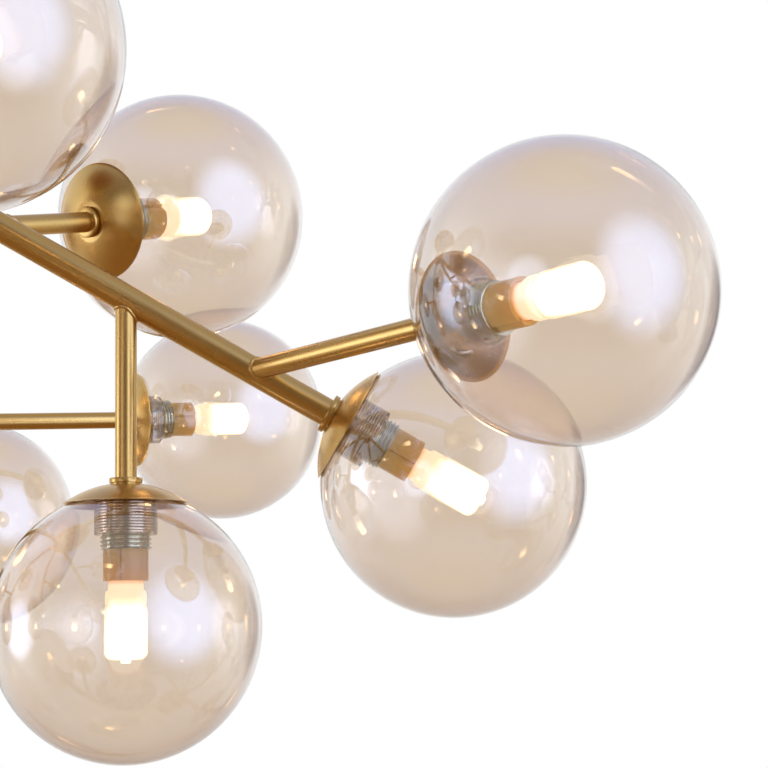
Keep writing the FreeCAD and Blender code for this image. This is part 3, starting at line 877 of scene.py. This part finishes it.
@dataclass
class BarFrame:
    """A bar with its three welded branches."""

    layout: Layout
    cap_top: float
    start: float = 28.7 * MM
    bead: float = 1.1 * MM
    bead_steps: int = 3
    sides: int = 72
    sharp: float = 40.0

    def tube(self, start: Vector, end: Vector, radius: float) -> bpy.types.Object:
        """Builds one tube between two points.

        Args:
            start: the middle of its first end.
            end: the middle of its other end.
            radius: its outer radius.

        Returns:
            The tube, with its place in its mesh.
        """
        along = end - start
        bpy.ops.object.select_all(action="DESELECT")
        bpy.ops.mesh.primitive_cylinder_add(vertices=self.sides, radius=radius, depth=along.length,
                                            location=(start + end) / 2.0,
                                            rotation=UP.rotation_difference(along).to_euler())
        bpy.ops.object.transform_apply(location=True, rotation=True, scale=True)
        return bpy.context.object

    def weld(self, lamp: Lamp) -> bpy.types.Object:
        """Builds the weld bead round the foot of a branch, along the line where the two tubes meet.

        Args:
            lamp: the branch's lamp.

        Returns:
            The bead, with its place in its mesh.
        """
        hub = -UP * self.layout.hub_drop
        along = (lamp.root - hub).normalized()
        across = (lamp.direction - along * lamp.direction.dot(along)).normalized()
        side = along.cross(across)
        first = across.cross(lamp.direction).normalized()
        second = lamp.direction.cross(first)
        bar, branch = self.layout.bar_radius, self.layout.branch_radius
        curve = bpy.data.curves.new("weld", "CURVE")
        curve.dimensions = "3D"
        curve.bevel_depth = self.bead
        curve.bevel_resolution = self.bead_steps
        line = curve.splines.new("POLY")
        line.points.add(self.sides - 1)
        line.use_cyclic_u = True
        for index in range(self.sides):
            angle = FULL_TURN * index / self.sides
            offset = first * (branch * math.cos(angle)) + second * (branch * math.sin(angle))
            sideways = offset.dot(side)
            height = math.sqrt(bar ** 2 - sideways ** 2)
            rise = (height - offset.dot(across)) / lamp.direction.dot(across)
            line.points[index].co = (*(lamp.root + offset + lamp.direction * rise), 1.0)
        bead = bpy.data.objects.new("weld", curve)
        bpy.context.scene.collection.objects.link(bead)
        select_only(bead)
        bpy.ops.object.convert(target="MESH")
        return bpy.context.object

    def build(self, lamps: list[Lamp]) -> bpy.types.Object:
        """Builds the frame of one bar.

        Args:
            lamps: the bar's four lamps, its end last.

        Returns:
            The frame as one piece.
        """
        end = lamps[-1]
        pieces = [self.tube(end.root + end.direction * self.start, end.centre + end.direction * self.cap_top,
                            end.tube_radius)]
        for lamp in lamps[:-1]:
            pieces.append(self.tube(lamp.root, lamp.centre + lamp.direction * self.cap_top, lamp.tube_radius))
            pieces.append(self.weld(lamp))
        joined = join(pieces, "frame_" + str(end.arm + 1))
        select_only(joined)
        bpy.ops.object.shade_smooth_by_angle(angle=math.radians(self.sharp))
        return joined


@dataclass
class Finishes:
    """Every finish of the light, built once."""

    brass: bpy.types.Material = field(default_factory=lambda: SatinBrass().build())
    bright_brass: bpy.types.Material = field(default_factory=lambda: PolishedBrass().build())
    glass: bpy.types.Material = field(default_factory=lambda: LustreGlass().build())
    neck_glass: bpy.types.Material = field(default_factory=lambda: NeckGlass().build())
    zinc: bpy.types.Material = field(default_factory=lambda: ZincPlate().build())
    steatite: bpy.types.Material = field(default_factory=lambda: GlazedSteatite().build())
    capsule: bpy.types.Material = field(default_factory=lambda: LitCapsule().build())
    sheath: bpy.types.Material = field(default_factory=lambda: MouldedPlastic("silicone_sheath", "#DAD4C6").build())
    nylon: bpy.types.Material = field(default_factory=lambda: MouldedPlastic("moulded_nylon", "#EDEBE4").build())

    def for_slot(self, slot: str) -> bpy.types.Material:
        """The finish of a CAD node, by the record's material slot."""
        finishes = {"satin_brass": self.brass, "globe_glass": self.glass, "zinc_plate": self.zinc,
                    "holder_ceramic": self.steatite, "frosted_glass": self.capsule, "lead_sheath": self.sheath,
                    "terminal_plastic": self.nylon}
        return finishes[slot]


@dataclass
class CeilingLight:
    """The whole light: every bar with its lamps, and the CAD nodes that keep their own shape."""

    finishes: Finishes
    layout: Layout = field(default_factory=Layout)
    root_body: str = "light"

    def build(self) -> None:
        """Builds and dresses every piece."""
        lamps = self.layout.lamps()
        cap, holder = Cap(), Holder()
        globe, dome = Globe().build(), cap.build_dome()
        body, bulb, sleeve = holder.build_body(), holder.build_bulb(), holder.build_sleeve()
        bars = BarFrame(self.layout, cap.top)
        collars = {radius: cap.build_collar(radius) for radius in (self.layout.bar_radius, self.layout.branch_radius)}
        finish = self.finishes
        for arm in range(self.layout.arm_count):
            own = [lamp for lamp in lamps if lamp.arm == arm]
            number = str(arm + 1)
            dress(bars.build(own), [finish.brass], self.root_body, "arm_" + number + "_frame")
            groups = (("caps", dome, [finish.brass, finish.bright_brass], "satin_brass"),
                      ("lampholders", body, [finish.steatite], "holder_ceramic"),
                      ("bulbs", bulb, [finish.capsule], "frosted_glass"))
            for group, master, materials, slot in groups:
                copies = [placed_copy(master, group, lamp.matrix) for lamp in own]
                piece = join(copies, group + "_" + number)
                dress(piece, materials, self.root_body, "arm_" + number + "_" + group)
            for lamp in own:
                node = "arm_" + number + "_globe_" + lamp.place.value
                piece = placed_copy(globe, "globe_" + number + "_" + lamp.place.value, lamp.matrix)
                dress(piece, [finish.glass, finish.neck_glass], node, node)
        rings = join([placed_copy(collars[lamp.tube_radius], "collar", lamp.matrix) for lamp in lamps], "collars")
        dress(rings, [finish.brass], self.root_body, "end_collars")
        sleeves = join([placed_copy(sleeve, "sleeve", lamp.matrix) for lamp in lamps], "sleeves")
        dress(sleeves, [finish.zinc], self.root_body, "threaded_sleeves")
        for master in (globe, dome, body, bulb, sleeve, *collars.values()):
            bpy.data.objects.remove(master)
        self.dress_nodes()

    def dress_nodes(self) -> None:
        """Gives every CAD node its finish."""
        slots = {part["node"]: part["material_slot"] for part in frame["record"]["subparts"]}
        for name, node in frame["nodes"].items():
            node.data.materials.clear()
            node.data.materials.append(self.finishes.for_slot(slots[name]))


@dataclass(frozen=True)
class SoftBox:
    """A soft patch of light in the studio: its direction and edges in degrees, its strength and its colour."""

    azimuth: float
    elevation: float
    inner: float
    outer: float
    strength: float
    colour: str

    @property
    def direction(self) -> Vector:
        """The direction to the patch, in the row frame."""
        azimuth, elevation = math.radians(self.azimuth), math.radians(self.elevation)
        flat = math.cos(elevation)
        return Vector((flat * math.cos(azimuth), flat * math.sin(azimuth), math.sin(elevation)))


@dataclass(frozen=True)
class Wall:
    """A colour that the room takes on towards one side, blended in over a span of the direction's part."""

    axis: str
    span: Span
    colour: str


@dataclass
class Studio:
    """Backdrop, floor, soft light and camera.

    The backdrop is white. A ray that has crossed more walls of glass than one globe has finds it brighter, so
    that two globes, one behind the other, hardly look darker than one.
    """

    backdrop: str = "#FFFFFF"
    crossed: tuple[float, float, float] = (1.58, 1.77, 2.08)
    crossings: Span = (4.0, 8.0)
    front: str = "#7C6B5A"
    walls: tuple[Wall, ...] = (
        Wall("Y", (-0.55, 0.15), "#FFFFFF"),
        Wall("Z", (0.25, 0.85), "#BCBEDE"),
        Wall("Z", (0.8, 1.0), "#C6BAAA"),
        Wall("Z", (0.1, -0.8), "#9A7448"),
    )
    boxes: tuple[SoftBox, ...] = (
        SoftBox(45.0, 0.0, 4.0, 20.0, 0.6, "#A8A0A4"),
        SoftBox(-40.0, 8.0, 1.0, 46.0, 3.05, "#CCD9FF"),
        SoftBox(-127.0, 0.0, 6.0, 20.0, 1.6, "#E6EAFF"),
        SoftBox(172.0, -3.0, 5.0, 21.0, 3.3, "#E6EAFF"),
    )
    light_middle: float = -0.28
    paint: str = "#F4F1E6"
    paint_roughness: float = 0.9
    lift: tuple[float, float, float] = (0.17, 0.18, 0.14)
    fade: Span = (2.8, 6.0)
    floor_drop: float = 2.4
    floor_size: float = 16.0
    camera_place: tuple[float, float, float] = (0.28975, -1.13691, -0.39792)
    camera_turn: tuple[float, float, float] = (97.506, -0.601, -5.857)
    lens: float = 95.54
    sensor: float = 36.0
    nearest: float = 0.01

    def build(self) -> None:
        """Builds the whole studio."""
        self.build_world()
        self.build_floor()
        self.build_camera()

    def surround(self, nodes: Shading, ray: Socket) -> Socket:
        """Adds the nodes that colour the room as metal and glass mirror it.

        Args:
            nodes: the tree that gets them.
            ray: the direction from the light to the room.

        Returns:
            The room's colour.
        """
        colour = linear(self.front)
        for wall in self.walls:
            share = nodes.spread(nodes.add("SeparateXYZ", wall.axis, {"Vector": ray}), wall.span)
            colour = nodes.blend(share, colour, linear(wall.colour))
        for box in self.boxes:
            facing = nodes.add("VectorMath", "Value", {0: ray, 1: box.direction}, operation="DOT_PRODUCT")
            edges = (math.cos(math.radians(box.outer)), math.cos(math.radians(box.inner)))
            bright = (*(channel * box.strength for channel in linear(box.colour)[:3]), 1.0)
            colour = nodes.blend(nodes.spread(facing, edges, curve="SMOOTHERSTEP"), colour, bright)
        return colour

    def build_world(self) -> None:
        """Builds the surround: white to the eye and through glass, and the room's shades for light and mirrors."""
        world = bpy.data.worlds.new("studio")
        bpy.context.scene.world = world
        world.use_nodes = True
        nodes = Shading(world.node_tree)
        room = self.surround(nodes, nodes.add("TexCoord", "Generated"))
        straight = nodes.maths("LESS_THAN", nodes.path("Glossy Depth"), NO_BOUNCE)
        through = nodes.maths("MULTIPLY", nodes.path("Is Transmission Ray"), straight)
        seen = nodes.maths("MAXIMUM", nodes.path("Is Camera Ray"), through)
        deep = nodes.spread(nodes.path("Transmission Depth"), self.crossings, curve="LINEAR")
        pale = nodes.blend(deep, linear(self.backdrop), (*self.crossed, 1.0))
        view = nodes.blend(seen, room, pale)
        nodes.close("World", nodes.add("Background", "Background", {"Color": view, "Strength": 1.0}))

    def build_floor(self) -> None:
        """Builds the pale floor far below the light."""
        bpy.ops.object.select_all(action="DESELECT")
        bpy.ops.mesh.primitive_plane_add(size=self.floor_size, location=(0.0, 0.0, -self.floor_drop))
        floor = bpy.context.object
        floor.name = "studio_floor"
        bpy.ops.object.transform_apply(location=True, rotation=True, scale=True)
        material = bpy.data.materials.new("painted_floor")
        material.use_nodes = True
        nodes = Shading(material.node_tree)
        nodes.close("Material", self.floor_shader(nodes))
        floor.data.materials.append(material)

    def floor_shader(self, nodes: Shading) -> Socket:
        """Adds the floor's nodes: paint that fades to white, clear from below, and the room's shades in mirrors."""
        paint = nodes.principled({
            "Base Color": linear(self.paint), "Roughness": self.paint_roughness,
            "Emission Color": (*self.lift, 1.0), "Emission Strength": 1.0})
        place = nodes.add("TexCoord", "Object")
        far = nodes.spread(nodes.add("VectorMath", "Value", {0: place}, operation="LENGTH"), self.fade)
        white = nodes.add("Emission", "Emission", {"Color": linear(self.backdrop)})
        offset = nodes.add("VectorMath", "Vector", {0: place, 1: UP * self.light_middle}, operation="SUBTRACT")
        ray = nodes.add("VectorMath", "Vector", {0: offset}, operation="NORMALIZE")
        room = nodes.add("Emission", "Emission", {"Color": self.surround(nodes, ray)})
        mirrored = nodes.maths("GREATER_THAN", nodes.path("Glossy Depth"), NO_BOUNCE)
        seen = nodes.either(mirrored, nodes.either(far, paint, white), room)
        return nodes.either(nodes.add("NewGeometry", "Backfacing"), seen, nodes.add("BsdfTransparent", "BSDF"))

    def build_camera(self) -> None:
        """Builds the camera at the photograph's place, turn and lens."""
        camera = bpy.data.objects.new("camera", bpy.data.cameras.new("camera"))
        bpy.context.scene.collection.objects.link(camera)
        camera.location = self.camera_place
        camera.rotation_euler = Euler([math.radians(angle) for angle in self.camera_turn], "XYZ")
        camera.data.sensor_width = self.sensor
        camera.data.lens = self.lens
        camera.data.clip_start = self.nearest
        bpy.context.scene.camera = camera


def main() -> None:
    """Builds the light and its studio."""
    logging.basicConfig(level=logging.INFO, format="%(name)s: %(message)s")
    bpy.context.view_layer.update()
    CeilingLight(Finishes()).build()
    Studio().build()
    scene = bpy.context.scene
    scene.view_settings.view_transform = "Standard"
    scene.cycles.max_bounces = LIGHT_BOUNCES
    scene.cycles.transmission_bounces = GLASS_BOUNCES
    scene.cycles.transparent_max_bounces = LIGHT_BOUNCES


if __name__ == "__main__":
    main()
